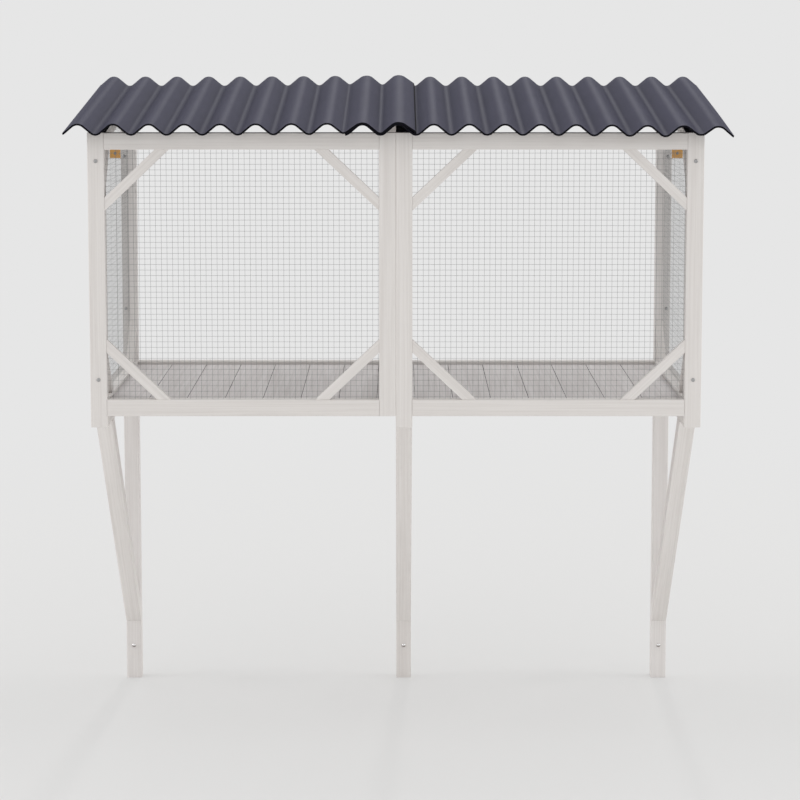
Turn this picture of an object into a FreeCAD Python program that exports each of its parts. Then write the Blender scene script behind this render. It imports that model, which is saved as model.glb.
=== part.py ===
"""Wall-hung window catio: a mesh-sided timber cage on three braced legs under a corrugated roof.

Millimetres. X runs to the right seen from the front, Y runs back to the wall and Z runs up. The wall
is the plane Y = 0, and the origin lies on it, midway between the wall bolts of the two outer legs.
"""
import FreeCAD, Part
import math
import os

# Cage
WIDTH = 1400.0            # across the outer posts
DEPTH = 800.0             # front face of the posts to the wall
PANEL_HEIGHT = 648.0      # underside of the bottom rails to the top of the front rails
TIMBER = 38.0             # square section of posts, legs, rails and struts
ARRIS = 1.2               # chamfer on the long edges of the square timber
SEAT_GAP = 0.2            # play where a piece rests on, or slips into, another

# Supports under the cage
LEG_DROP = 790.0          # underside of the cage to the foot of the legs
BEARER_HEIGHT = 26.0      # bearers under the cage, covered at the front by the posts
STRUT_SETBACK = 104.0     # front face of the posts to the heel of the strut
STRUT_TOE = 150.0         # foot of the leg to the toe of the strut
STRUT_THICK = 38.0        # strut section measured square to its length
WALL_BOLT_HEIGHT = 86.0   # foot of the leg to its wall bolt
WALL_BOLT_HOLE = 8.5      # clearance hole for an M8 wall bolt

# Floor
BOARD_THICK = 12.0
BOARD_WIDTH = 88.0        # nearest board width, evened out over the floor
BOARD_GAP = 0.9
FLOOR_DROP = 8.0          # top of the bottom rails to the top of the floor
LEDGER_WIDTH = 20.0

# Corner braces of the mesh panels
BRACE_WIDTH = 22.0
BRACE_THICK = 18.0
BRACE_RECESS = 1.5        # back from the face of the frame
FRONT_BRACE_RUN = 146.8   # along the rail
FRONT_BRACE_RISE = 138.7  # along the post
SIDE_BRACE_RUN = 125.0
SIDE_BRACE_RISE = 108.0

# Welded mesh, drawn with every sixth wire
WIRE = 1.0
WIRE_PITCH = 12.7
WIRES_PER_BAR = 6

# Roof
ROOF_RISE = 85.0          # front rail to rear rail
RAFTER_HEIGHT = 26.0
RAFTER_DROP = 6.0         # valleys of the sheet to the top of the rafter
SHEET_PITCH = 80.3        # crest to crest
SHEET_WAVE = 23.2         # height of the wave on the middle of the sheet
SHEET_THICK = 3.2
SHEET_FLANK = 40.0        # degrees, slope of the straight flank between two arcs
CREST_SHARE = 0.56        # crest radius as a share of crest and valley radius together
SHEET_END = 24.0          # degrees, slope of the wave where an outer edge is cut
SHEET_LAP = 2             # waves that the two sheets share
SHEET_LAP_END = 6.0       # degrees past the valley where the upper sheet ends
SHEET_BEND = 2.3          # power of the curve by which the upper sheet bends up to the lap
CREST_SHIFT = 5.6         # middle crest to the middle of the cage
SIDE_OVERHANG = 50.0
FRONT_OVERHANG = 36.0
WALL_CLEARANCE = 5.0      # rear edge of the roof to the wall

# Wall brackets
BRACKET_LEAF = 31.0
BRACKET_HEIGHT = 24.0
BRACKET_THICK = 2.0
BRACKET_BEND = 2.0        # inner radius of the bend
BRACKET_HOLE = 5.0
BRACKET_DROP = 68.0       # top of the front rails to the top of the bracket

# Bolts through the posts
BOLT_HEAD = 9.0
BOLT_HEAD_HEIGHT = 2.6
BOLT_SHANK = 6.0
BOLT_COVER = 4.0          # timber left behind the end of a bolt
FRONT_BOLT_TOP = 64.0     # top of the front rails to the upper front bolt
REAR_BOLT_TOP = 86.0
FRONT_BOLT_BASE = 84.0    # underside of the cage to the lower front bolt
REAR_BOLT_BASE = 174.0

# Places worked out from the sizes above
HALF = WIDTH / 2
INNER = HALF - TIMBER
FRONT = -DEPTH
POST_BACK = FRONT + TIMBER
REAR_FACE = -TIMBER
FOOT_Z = -WALL_BOLT_HEIGHT
BASE_Z = FOOT_Z + LEG_DROP
BEARER_Z = BASE_Z - BEARER_HEIGHT
RAIL_Z = BASE_Z + TIMBER
FLOOR_Z = RAIL_Z - FLOOR_DROP
TOP_Z = BASE_Z + PANEL_HEIGHT
REAR_TOP_Z = TOP_Z + ROOF_RISE
ROOF_SLOPE = math.atan2(ROOF_RISE, REAR_FACE - FRONT)
BRACKET_Z = TOP_Z - BRACKET_DROP - BRACKET_HEIGHT
MESH_SETBACK = BRACE_RECESS + BRACE_THICK

# Left edge of each line of support: both outer posts and the post right of the middle
SUPPORTS = {"left": -HALF, "centre": 0.0, "right": INNER}


def vec(x, y, z):
    return FreeCAD.Vector(x, y, z)


def block(x, y, z):
    """Plain box between the low and high values of each pair."""
    return Part.makeBox(x[1] - x[0], y[1] - y[0], z[1] - z[0], vec(x[0], y[0], z[0]))


def timber(x, y, z):
    """Planed timber: a box with a small chamfer on its four long edges."""
    sides = [x[1] - x[0], y[1] - y[0], z[1] - z[0]]
    long_side = sides.index(max(sides))
    box = block(x, y, z)
    long_edges = [e for e in box.Edges if abs(e.tangentAt(e.FirstParameter)[long_side]) > 0.99]
    return box.makeChamfer(ARRIS, long_edges)


def prism(points, along):
    """Closed outline through the points, pushed along a vector."""
    outline = Part.makePolygon(points + points[:1])
    return Part.Face(outline).extrude(along)


def roof_line(y):
    """Height of the underside of the roof's valleys above a place on the Y axis."""
    return TOP_Z + (y - FRONT) * math.tan(ROOF_SLOPE)


def rafter_bottom(y):
    return roof_line(y) - RAFTER_DROP - RAFTER_HEIGHT


def bolt_heights(back):
    """Heights of the two bolts in a front or rear post."""
    if back:
        return BASE_Z + REAR_BOLT_BASE, TOP_Z - REAR_BOLT_TOP
    return BASE_Z + FRONT_BOLT_BASE, TOP_Z - FRONT_BOLT_TOP


def bolt_x(name, back):
    """Middle of a post's bolts: the rear ones stand in the strip of the post outside the mesh."""
    inset = (TIMBER - MESH_SETBACK - WIRE) / 2 if back else TIMBER / 2
    return inset - HALF if name == "left" else HALF - inset


def bolted(post, name, y_face, back):
    """Outer post with blind holes for its two bolts."""
    hole = BOLT_SHANK + 2 * SEAT_GAP
    depth = TIMBER - BOLT_COVER + SEAT_GAP
    return drilled(post, bolt_x(name, back), y_face, bolt_heights(back), hole, depth)


def drilled(post, x_middle, y_face, heights, diameter, depth):
    """Post with round holes from its front face."""
    for z in heights:
        hole = Part.makeCylinder(diameter / 2, depth, vec(x_middle, y_face, z), vec(0, 1, 0))
        post = post.cut(hole)
    return post


def front_post(name):
    """Front post, long enough to cover the end of its bearer."""
    x = SUPPORTS[name]
    post = timber((x, x + TIMBER), (FRONT, POST_BACK), (BEARER_Z, TOP_Z))
    if name == "centre":
        return post
    return bolted(post, name, FRONT, False)


def front_stile():
    """Inner stile of the left front panel, beside the centre post."""
    return timber((-TIMBER, 0.0), (FRONT, POST_BACK), (BASE_Z, TOP_Z))


def front_opening(side):
    """X range between the upright timbers of one front panel."""
    return (-INNER, -TIMBER) if side == "left" else (TIMBER, INNER)


def front_rail(side, top):
    z = (TOP_Z - TIMBER, TOP_Z) if top else (BASE_Z, RAIL_Z)
    return timber(front_opening(side), (FRONT, POST_BACK), z)


def leg(name):
    """Leg against the wall; the outer two carry on up as the rear posts."""
    x = SUPPORTS[name]
    top = BASE_Z if name == "centre" else REAR_TOP_Z
    post = timber((x, x + TIMBER), (REAR_FACE, 0.0), (FOOT_Z, top))
    post = drilled(post, x + TIMBER / 2, REAR_FACE, [0.0], WALL_BOLT_HOLE, TIMBER)
    if name == "centre":
        return post
    return bolted(post, name, REAR_FACE, True)


def bearer(name):
    x = SUPPORTS[name]
    return timber((x, x + TIMBER), (POST_BACK, REAR_FACE), (BEARER_Z, BASE_Z))


def strut(name):
    """Slanting strut from the bearer's underside to the front of the leg."""
    heel = FRONT + STRUT_SETBACK
    toe_z = FOOT_Z + STRUT_TOE
    slant = math.atan2(BEARER_Z - toe_z, REAR_FACE - heel)
    x = SUPPORTS[name]
    outline = [
        vec(x, heel, BEARER_Z),
        vec(x, heel + STRUT_THICK / math.sin(slant), BEARER_Z),
        vec(x, REAR_FACE, toe_z + STRUT_THICK / math.cos(slant)),
        vec(x, REAR_FACE, toe_z),
    ]
    return prism(outline, vec(TIMBER, 0, 0))


def side_rail(name):
    x = SUPPORTS[name]
    return timber((x, x + TIMBER), (POST_BACK, REAR_FACE), (BASE_Z, RAIL_Z))


def rafter(name):
    """Sloping rail just under the valleys of the roof."""
    x = SUPPORTS[name]
    ends = (POST_BACK, REAR_FACE)
    lower = [vec(x, y, rafter_bottom(y)) for y in ends]
    upper = [vec(x, y, rafter_bottom(y) + RAFTER_HEIGHT) for y in reversed(ends)]
    return prism(lower + upper, vec(TIMBER, 0, 0))


def rear_rail(top):
    z = (REAR_TOP_Z - TIMBER, REAR_TOP_Z) if top else (BASE_Z, RAIL_Z)
    return timber((-INNER, INNER), (REAR_FACE, 0.0), z)


def rear_stile():
    """Upright at the back beside the centre leg, between the two rear rails."""
    x = SUPPORTS["centre"]
    return timber((x - TIMBER, x), (REAR_FACE, 0.0), (RAIL_Z, REAR_TOP_Z - TIMBER))


def floor_ledger(y):
    return block((-INNER, INNER), (y, y + LEDGER_WIDTH), (BASE_Z, FLOOR_Z - BOARD_THICK))


def floor_boards():
    """Boards laid from front to back, evened out between the side rails."""
    count = round(2 * INNER / BOARD_WIDTH)
    pitch = 2 * INNER / count
    boards = []
    for i in range(count):
        x = -INNER + i * pitch
        width = (x + BOARD_GAP / 2, x + pitch - BOARD_GAP / 2)
        length = (POST_BACK + SEAT_GAP, REAR_FACE - SEAT_GAP)
        boards.append(block(width, length, (FLOOR_Z - BOARD_THICK, FLOOR_Z)))
    return boards


def brace(corner, along_rail, along_post, push):
    """Slanting strip across a corner, cut to lie on the rail and on the post."""
    across = along_rail - along_post
    height = along_rail.cross(along_post).Length / across.Length
    inner = 1 - BRACE_WIDTH / height
    outline = [
        corner + along_rail * inner,
        corner + along_rail,
        corner + along_post,
        corner + along_post * inner,
    ]
    return prism(outline, push)


def front_braces(side):
    """Four corner braces of one front panel, by corner name."""
    left, right = front_opening(side)
    outer_first = ("outer", "inner") if side == "left" else ("inner", "outer")
    y = FRONT + BRACE_RECESS
    braces = {}
    for place, x, run in zip(outer_first, (left, right), (FRONT_BRACE_RUN, -FRONT_BRACE_RUN)):
        for level, z, rise in (
            ("bottom", RAIL_Z, FRONT_BRACE_RISE),
            ("top", TOP_Z - TIMBER, -FRONT_BRACE_RISE),
        ):
            strip = brace(vec(x, y, z), vec(run, 0, 0), vec(0, 0, rise), vec(0, BRACE_THICK, 0))
            braces[f"{level}_{place}"] = strip
    return braces


def side_face(name):
    """Inner face of a side panel and the direction from it to the outside."""
    return (-INNER, -1) if name == "left" else (INNER, 1)


def side_braces(name):
    """Four corner braces of one side panel, by corner name."""
    face, outward = side_face(name)
    x = face + outward * BRACE_RECESS
    push = vec(outward * BRACE_THICK, 0, 0)
    braces = {}
    for place, y, run in (("front", POST_BACK, SIDE_BRACE_RUN), ("rear", REAR_FACE, -SIDE_BRACE_RUN)):
        low_corner = vec(x, y, RAIL_Z)
        high_corner = vec(x, y, rafter_bottom(y))
        level_run = vec(0, run, 0)
        sloped_run = vec(0, run, run * math.tan(ROOF_SLOPE))
        braces[f"bottom_{place}"] = brace(low_corner, level_run, vec(0, 0, SIDE_BRACE_RISE), push)
        braces[f"top_{place}"] = brace(high_corner, sloped_run, vec(0, 0, -SIDE_BRACE_RISE), push)
    return braces


def bar_places(low, high):
    """Middles of the drawn wires between two edges, with a wire along each edge."""
    step = WIRE_PITCH * WIRES_PER_BAR
    count = int((high - low) / step)
    first = (low + high - count * step) / 2
    inside = [first + i * step for i in range(count + 1)]
    room = 3 * WIRE
    kept = [p for p in inside if low + room < p < high - room]
    return [low + WIRE / 2] + kept + [high - WIRE / 2]


def cut_above(outline, limit):
    """Part of a flat outline of (across, up) points that lies below a sloping limit."""
    kept = []
    for (a0, u0), (a1, u1) in zip(outline, outline[1:] + outline[:1]):
        over0 = u0 - limit(a0)
        over1 = u1 - limit(a1)
        if over0 <= 0:
            kept.append((a0, u0))
        if over0 * over1 < 0:
            share = over0 / (over0 - over1)
            kept.append((a0 + share * (a1 - a0), u0 + share * (u1 - u0)))
    return kept


def mesh_sheet(across, low, top_line, place, push):
    """Wire sheet with square gaps under a straight or sloping top; place makes a point of two values."""
    outer = [
        (across[0], low),
        (across[1], low),
        (across[1], top_line(across[1])),
        (across[0], top_line(across[0])),
    ]
    columns = bar_places(*across)
    rows = bar_places(low, max(top_line(a) for a in across))
    wires = [Part.makePolygon([place(*p) for p in outer + outer[:1]])]
    for a0, a1 in zip(columns, columns[1:]):
        for u0, u1 in zip(rows, rows[1:]):
            gap = [
                (a0 + WIRE / 2, u0 + WIRE / 2),
                (a1 - WIRE / 2, u0 + WIRE / 2),
                (a1 - WIRE / 2, u1 - WIRE / 2),
                (a0 + WIRE / 2, u1 - WIRE / 2),
            ]
            gap = cut_above(gap, lambda a: top_line(a) - WIRE)
            widest = max((abs(p[1] - gap[0][1]) for p in gap), default=0)
            if len(gap) > 2 and widest > WIRE:
                wires.append(Part.makePolygon([place(*p) for p in gap + gap[:1]]))
    sheet = Part.makeFace(wires, "Part::FaceMakerBullseye")
    return sheet.extrude(push)


def front_mesh(side):
    """Mesh of a front panel, set in the frame right behind its braces."""
    y = FRONT + MESH_SETBACK
    return mesh_sheet(
        front_opening(side),
        RAIL_Z,
        lambda x: TOP_Z - TIMBER,
        lambda x, z: vec(x, y, z),
        vec(0, WIRE, 0),
    )


def side_mesh(name):
    """Mesh of a side panel, set in the frame right outside its braces."""
    face, outward = side_face(name)
    x = face + outward * MESH_SETBACK
    return mesh_sheet(
        (POST_BACK, REAR_FACE),
        RAIL_Z,
        rafter_bottom,
        lambda y, z: vec(x, y, z),
        vec(outward * WIRE, 0, 0),
    )


class Wave:
    """Corrugation made of crest arcs, straight flanks and valley arcs, about the middle of the sheet."""

    def __init__(self, bend=lambda x: 0.0):
        self.flank = math.radians(SHEET_FLANK)
        self.bend = bend
        reach = math.tan(self.flank) * SHEET_PITCH / 2 - SHEET_WAVE
        both = reach / (1 / math.cos(self.flank) - 1)
        self.crest_radius = both * CREST_SHARE
        self.valley_radius = both - self.crest_radius

    def point(self, crest_x, valley, angle, offset):
        """Point of an arc: its slope angle from the arc's middle, and its distance off the middle line."""
        sign = -1 if valley else 1
        middle_x = crest_x + (SHEET_PITCH / 2 if valley else 0)
        middle_radius = self.valley_radius if valley else self.crest_radius
        radius = middle_radius + sign * offset
        x = middle_x + radius * math.sin(angle)
        z = sign * (SHEET_WAVE / 2 - middle_radius + radius * math.cos(angle))
        return vec(x, 0, z + self.bend(middle_x))

    def arcs(self, crests, start, end, offset):
        """Arcs of one face of the sheet from left to right, each as its first, middle and last point."""
        arcs = []
        for i, crest_x in enumerate(crests):
            if i == 0:
                arcs.append((crest_x - SHEET_PITCH, True, start, self.flank))
            arcs.append((crest_x, False, -self.flank, self.flank))
            last = i == len(crests) - 1
            arcs.append((crest_x, True, -self.flank, end if last else self.flank))
        return [
            [self.point(x, valley, a, offset) for a in (a0, (a0 + a1) / 2, a1)]
            for x, valley, a0, a1 in arcs
        ]

    def edges(self, crests, start, end, offset):
        """Arcs joined by their flanks."""
        arcs = self.arcs(crests, start, end, offset)
        edges = []
        for arc, following in zip(arcs, arcs[1:] + [None]):
            edges.append(Part.Arc(*arc).toShape())
            if following:
                edges.append(Part.LineSegment(arc[2], following[0]).toShape())
        return edges


def corrugated(crests, start, end, wave):
    """Sheet with the given crests, cut at the given slopes of its first and last valley."""
    half = SHEET_THICK / 2
    upper = wave.edges(crests, start, end, half)
    lower = wave.edges(crests, start, end, -half)
    ends = [
        Part.LineSegment(upper[0].Vertexes[0].Point, lower[0].Vertexes[0].Point).toShape(),
        Part.LineSegment(upper[-1].Vertexes[-1].Point, lower[-1].Vertexes[-1].Point).toShape(),
    ]
    outline = Part.Wire(Part.__sortEdges__(upper + lower + ends))
    length = (DEPTH + FRONT_OVERHANG - WALL_CLEARANCE) / math.cos(ROOF_SLOPE)
    return Part.Face(outline).extrude(vec(0, length, 0))


def crest_reach():
    """Crests on each side of the middle one."""
    end = math.radians(SHEET_END)
    edge = SHEET_PITCH / 2 - Wave().valley_radius * math.sin(end)
    return round((HALF + SIDE_OVERHANG - edge) / SHEET_PITCH)


def pitched(sheet):
    """Sheet laid on the front rail and turned up to the rear rail."""
    lift = SHEET_WAVE / 2 + SHEET_THICK / 2 + SEAT_GAP
    sheet.translate(vec(0, -FRONT_OVERHANG / math.cos(ROOF_SLOPE), lift))
    sheet.rotate(vec(0, 0, 0), vec(1, 0, 0), math.degrees(ROOF_SLOPE))
    sheet.translate(vec(0, FRONT, TOP_Z))
    return sheet


def roof_sheets():
    """Two sheets; the left one bends up to lie over the first waves of the right one."""
    reach = crest_reach()
    outer_cut = math.radians(SHEET_END)
    left_crests = [CREST_SHIFT + i * SHEET_PITCH for i in range(-reach, 1)]
    right_crests = [CREST_SHIFT + i * SHEET_PITCH for i in range(1 - SHEET_LAP, reach + 1)]
    first_valley = left_crests[0] + SHEET_PITCH / 2
    lap_valley = right_crests[0] - SHEET_PITCH / 2
    lap_lift = (SHEET_THICK + SEAT_GAP) / math.cos(math.radians(SHEET_FLANK))

    def lap_bend(x):
        share = (x - first_valley) / (lap_valley - first_valley)
        return lap_lift * min(max(share, 0.0), 1.0) ** SHEET_BEND

    left = corrugated(left_crests, outer_cut, math.radians(SHEET_LAP_END), Wave(lap_bend))
    right = corrugated(right_crests, 0.0, -outer_cut, Wave())
    return {"left": pitched(left), "right": pitched(right)}


def wall_bracket(name):
    """Angle bracket: one leaf on the side of the rear post, the other on the wall."""
    outward = -1 if name == "left" else 1
    x = outward * HALF
    bend = BRACKET_BEND + BRACKET_THICK
    corner = Part.makePolygon([
        vec(x, -BRACKET_LEAF, BRACKET_Z),
        vec(x, 0, BRACKET_Z),
        vec(x + outward * BRACKET_LEAF, 0, BRACKET_Z),
        vec(x + outward * BRACKET_LEAF, -BRACKET_THICK, BRACKET_Z),
        vec(x + outward * BRACKET_THICK, -BRACKET_THICK, BRACKET_Z),
        vec(x + outward * BRACKET_THICK, -BRACKET_LEAF, BRACKET_Z),
        vec(x, -BRACKET_LEAF, BRACKET_Z),
    ])
    angle = Part.Face(corner).extrude(vec(0, 0, BRACKET_HEIGHT))
    rounded = [(vec(x, 0, 0), bend), (vec(x + outward * BRACKET_THICK, -BRACKET_THICK, 0), BRACKET_BEND)]
    for place, radius in rounded:
        upright = [
            e for e in angle.Edges
            if all(math.hypot(v.X - place.x, v.Y - place.y) < SEAT_GAP for v in e.Vertexes)
        ]
        angle = angle.makeFillet(radius, upright)
    middle_z = BRACKET_Z + BRACKET_HEIGHT / 2
    hole_place = (BRACKET_LEAF + bend) / 2
    wall_hole = Part.makeCylinder(
        BRACKET_HOLE / 2, BRACKET_THICK, vec(x + outward * hole_place, -BRACKET_THICK, middle_z), vec(0, 1, 0)
    )
    post_hole = Part.makeCylinder(
        BRACKET_HOLE / 2, BRACKET_THICK, vec(x, -hole_place, middle_z), vec(outward, 0, 0)
    )
    return angle.cut(wall_hole).cut(post_hole)


def post_bolt(x_middle, y_face, z):
    """Round-headed bolt standing on the front face of a post."""
    end = TIMBER - BOLT_COVER
    outline = Part.makePolygon([
        vec(0, end, 0),
        vec(BOLT_SHANK / 2, end, 0),
        vec(BOLT_SHANK / 2, 0, 0),
        vec(BOLT_HEAD / 2, 0, 0),
        vec(BOLT_SHANK / 2, -BOLT_HEAD_HEIGHT, 0),
        vec(0, -BOLT_HEAD_HEIGHT, 0),
        vec(0, end, 0),
    ])
    bolt = Part.Face(outline).revolve(vec(0, 0, 0), vec(0, 1, 0), 360)
    bolt.translate(vec(x_middle, y_face, z))
    return bolt


def post_bolts():
    """Bolts of the front posts and of the rear posts above the floor."""
    bolts = []
    for name in ("left", "right"):
        for y_face, back in ((FRONT, False), (REAR_FACE, True)):
            bolts += [post_bolt(bolt_x(name, back), y_face, z) for z in bolt_heights(back)]
    return bolts


def build():
    """Every piece by node name; a list is a group of like pieces."""
    nodes = {}
    for name in SUPPORTS:
        nodes[f"front_post_{name}"] = front_post(name)
        nodes[f"leg_{name}"] = leg(name)
        nodes[f"bearer_{name}"] = bearer(name)
        nodes[f"strut_{name}"] = strut(name)
        nodes[f"rafter_{name}"] = rafter(name)
    nodes["front_stile"] = front_stile()
    for side in ("left", "right"):
        nodes[f"top_rail_{side}"] = front_rail(side, True)
        nodes[f"bottom_rail_{side}"] = front_rail(side, False)
        nodes[f"side_rail_{side}"] = side_rail(side)
        nodes[f"front_mesh_{side}"] = front_mesh(side)
        nodes[f"side_mesh_{side}"] = side_mesh(side)
        nodes[f"wall_bracket_{side}"] = wall_bracket(side)
        for corner, strip in front_braces(side).items():
            nodes[f"front_brace_{side}_{corner}"] = strip
        for corner, strip in side_braces(side).items():
            nodes[f"side_brace_{side}_{corner}"] = strip
    nodes["rear_base_rail"] = rear_rail(False)
    nodes["rear_top_rail"] = rear_rail(True)
    nodes["rear_stile"] = rear_stile()
    nodes["floor_ledger_front"] = floor_ledger(POST_BACK)
    nodes["floor_joist"] = floor_ledger((POST_BACK + REAR_FACE - LEDGER_WIDTH) / 2)
    nodes["floor_ledger_rear"] = floor_ledger(REAR_FACE - LEDGER_WIDTH)
    nodes["floor_boards"] = floor_boards()
    for side, sheet in roof_sheets().items():
        nodes[f"roof_sheet_{side}"] = sheet
    nodes["post_bolts"] = post_bolts()
    return nodes


def main():
    os.makedirs("parts", exist_ok=True)
    for node, piece in build().items():
        shape = Part.makeCompound(piece) if isinstance(piece, list) else piece
        shape.exportStep(f"parts/{node}.step")


main()
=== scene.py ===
import math

import bpy
from bpy.props import FloatProperty, FloatVectorProperty, IntProperty, PointerProperty
from mathutils import Matrix, Vector


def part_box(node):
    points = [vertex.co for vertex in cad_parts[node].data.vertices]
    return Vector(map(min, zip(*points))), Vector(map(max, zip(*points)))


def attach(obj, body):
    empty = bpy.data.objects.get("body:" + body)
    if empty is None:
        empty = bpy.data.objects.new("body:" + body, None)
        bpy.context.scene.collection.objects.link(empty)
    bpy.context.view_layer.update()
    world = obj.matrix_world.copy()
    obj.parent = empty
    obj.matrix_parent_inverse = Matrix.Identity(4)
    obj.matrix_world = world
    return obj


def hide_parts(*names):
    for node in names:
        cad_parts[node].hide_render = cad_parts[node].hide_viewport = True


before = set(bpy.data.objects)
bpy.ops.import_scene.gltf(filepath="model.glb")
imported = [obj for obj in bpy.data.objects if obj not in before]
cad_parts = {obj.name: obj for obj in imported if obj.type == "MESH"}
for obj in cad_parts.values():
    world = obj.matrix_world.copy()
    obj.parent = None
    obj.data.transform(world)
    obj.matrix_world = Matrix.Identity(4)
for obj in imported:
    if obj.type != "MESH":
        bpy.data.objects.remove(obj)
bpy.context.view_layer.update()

bl_info = {
    "name": "Window Catio",
    "version": (1, 0, 0),
    "blender": (4, 5, 0),
    "location": "3D View > Sidebar > Catio",
    "description": "Dresses the wall-hung cat enclosure with timber, wire mesh, roof sheets and fasteners",
    "category": "Object",
}

MILLIMETRE = 0.001
BODY = "root"
UP = Vector((0.0, 0.0, 1.0))
ACROSS = Vector((1.0, 0.0, 0.0))
DEEP = Vector((0.0, 1.0, 0.0))
SAME = 0.00001  # points closer than this are one point
SEAM = 0.00002  # gap that is merged where waves of a sheet meet
HEAD_SIDES = 32  # sides of a round fastener head
SHANK_SIDES = 24
WIRE_SIDES = 8
DOME_RINGS = 6  # rings of a domed head
DOME_SWEEP = math.radians(76.0)  # arc of a domed head, from its rim to its flat top
SOCKET_LIP = 0.03  # lip round a socket and width of its floor's rim, as shares of the head's radius
SOCKET_FLOOR = 0.05
SHANK_END = 0.2  # rim on the end of a shank, as a share of its radius


# ---------------------------------------------------------------- sizes and colours


def length(name, description, millimetres):
    """A length property with its default in millimetres."""
    return FloatProperty(
        name=name,
        description=description,
        default=millimetres * MILLIMETRE,
        min=0.0,
        precision=5,
        subtype="DISTANCE",
        unit="LENGTH",
    )


def angle(name, description, degrees):
    """An angle property with its default in degrees."""
    return FloatProperty(
        name=name,
        description=description,
        default=math.radians(degrees),
        min=0.0,
        subtype="ANGLE",
        unit="ROTATION",
    )


def count(name, description, default):
    """A whole number of at least one."""
    return IntProperty(name=name, description=description, default=default, min=1)


def colour(name, description, default):
    """A colour property in linear values."""
    return FloatVectorProperty(
        name=name, description=description, default=default, size=3, min=0.0, max=1.0, subtype="COLOR"
    )


def tint(name, description, default):
    """Shares by which a finish is darker or paler in red, green and blue, painting shade or light into it."""
    return FloatVectorProperty(name=name, description=description, default=default, size=3, min=0.0, max=2.0)


class CatioSizes(bpy.types.PropertyGroup):
    """Sizes of the pieces that the looks add to the frame"""

    front_wire: length("Front wire", "Diameter of the wire in the front panels", 0.62)
    side_wire: length("Side wire", "Diameter of the wire in the side panels", 0.46)
    wire_pitch: length("Wire pitch", "Middle of one wire to the middle of the next", 12.7)
    wire_side_inset: length("First upright wire", "Left edge of a mesh panel to its first upright wire", 12.2)
    wire_base_inset: length("First level wire", "Bottom edge of a mesh panel to its first level wire", 4.6)
    edge: length("Edge", "Rounding of the sawn edges of braces, struts and rafters", 1.0)
    boards: count("Boards", "Boards in the floor", 15)
    board_edge: length("Board edge", "Rounding of the floor boards", 1.1)
    sheet_pitch: length("Sheet pitch", "Crest to crest of the roof sheets", 80.3)
    sheet_wave: length("Sheet wave", "Height of the wave on the middle of the roof sheets", 23.2)
    sheet_thick: length("Sheet thickness", "Thickness of the roof sheets", 4.2)
    sheet_flank: angle("Sheet flank", "Steepest slant of the waves", 40.0)
    crest_share: FloatProperty(
        name="Crest share",
        description="Crest radius as a share of crest and valley radius together",
        default=0.56,
        min=0.1,
        max=0.9,
        subtype="FACTOR",
    )
    arc_faces: count("Arc faces", "Faces round the crest of a wave", 12)
    sheet_rows: count("Sheet rows", "Rows of faces from the front to the rear of a roof sheet", 12)
    crest_shift: length("Middle crest", "Middle of the cage to the middle crest", 5.6)
    sheet_overhang: length("Front overhang", "Front of the posts to the front edge of the roof", 36.0)
    wall_clearance: length("Wall clearance", "Rear edge of the roof to the wall", 5.0)
    lap_lift: length("Lap lift", "Height by which the left sheet bends up to lie over the right one", 4.6)
    lap_spread: length("Lap spread", "Width by which the outer flanks of the lap stand out further", 3.0)
    lap_start: length("Lap bend", "Middle of the cage to where the left sheet starts to bend up", 560.0)
    lap_flank: length("Lap flank", "Width by which the left sheet's last flank runs on straight", 2.6)
    lap_lip: length("Lap lip", "Width of the lip that is turned down at the left sheet's lap", 1.8)
    lip_slant: angle("Lip slant", "Slant of the lap's lip", 73.0)
    sheet_press: length("Sheet press", "Depth to which the valleys are pressed onto the rails", 1.3)
    corner_drop: length("Corner drop", "Sag of the front right corner of the roof", 6.2)
    corner_start: length("Corner start", "Middle of the cage to where the roof starts to sag", 200.0)
    post_head: length("Post bolt head", "Diameter of the round heads on the posts", 9.0)
    post_head_height: length("Post bolt height", "Height of the round heads on the posts", 2.6)
    post_head_rim: length("Post bolt rim", "Height of the straight rim under the round heads", 0.5)
    post_socket: length("Post bolt socket", "Depth of the socket in the round heads", 1.4)
    front_bolt_out: length("Front bolts", "Middle of the cage to the bolts of the front posts", 681.0)
    front_bolt_low: length("Lower front bolts", "Wall bolts to the lower bolts of the front posts", 788.0)
    front_bolt_high: length("Upper front bolts", "Wall bolts to the upper bolts of the front posts", 1288.0)
    rear_bolt_out: length("Rear bolts", "Middle of the cage to the bolts of the rear posts", 691.25)
    rear_bolt_low: length("Lower rear bolts", "Wall bolts to the lower bolts of the rear posts", 878.0)
    rear_bolt_high: length("Upper rear bolts", "Wall bolts to the upper bolts of the rear posts", 1266.0)
    wall_head: length("Wall bolt head", "Diameter of the domed wall bolts of the legs", 10.4)
    wall_head_height: length("Wall bolt height", "Height of the domed wall bolts of the legs", 4.6)
    wall_head_rim: length("Wall bolt rim", "Height of the straight rim under the domes", 0.8)
    wall_shank: length("Wall bolt shank", "Diameter of the wall bolts in the legs", 8.0)
    wall_shank_play: length("Wall bolt end", "End of a wall bolt to the wall", 0.5)
    screw_head: length("Screw head", "Diameter of the screws in the wall brackets", 7.6)
    screw_head_height: length("Screw height", "Height of the screw heads in the wall brackets", 2.2)
    screw_head_rim: length("Screw rim", "Height of the straight rim under the screw heads", 0.6)
    screw_socket: length("Screw socket", "Depth of the socket in the screw heads", 1.2)
    screw_shank: length("Screw shank", "Diameter of the screws in the brackets' leaves", 4.6)
    screw_inset: length("Screw inset", "End of a bracket's leaf to the middle of its screw", 13.5)
    leaf: length("Leaf", "Thickness of the brackets' leaves", 2.0)


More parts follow.
